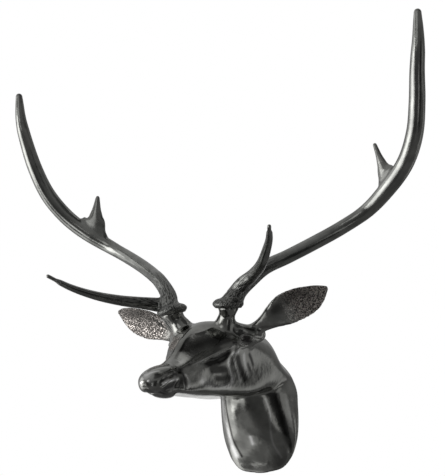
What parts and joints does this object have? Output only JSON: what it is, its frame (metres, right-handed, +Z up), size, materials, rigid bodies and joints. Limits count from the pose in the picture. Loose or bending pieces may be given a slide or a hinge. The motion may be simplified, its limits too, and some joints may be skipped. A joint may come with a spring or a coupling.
{
  "type": "aluminium deer head",
  "caption": "Wall-hung deer head cast in dark polished aluminium, with spread ears and tall curved antlers that each carry a brow tine and an upper tine.",
  "frame": {"origin": "centre of the flat back face that lies on the wall", "axes": "+X to the deer's own left, -Y out of the wall towards the nose, +Z up"},
  "size_m": [0.6414, 0.3175, 0.562],
  "materials": {
    "head_aluminium": "cast, buffed to a dark mirror, with stippled inner faces on the ears",
    "antler_aluminium": "cast, dark and polished, grained along its length near the burr"
  },
  "bodies": {
    "root": {"deer_head": "head_aluminium", "left_antler": "antler_aluminium", "right_antler": "antler_aluminium"}
  },
  "joints": []
}
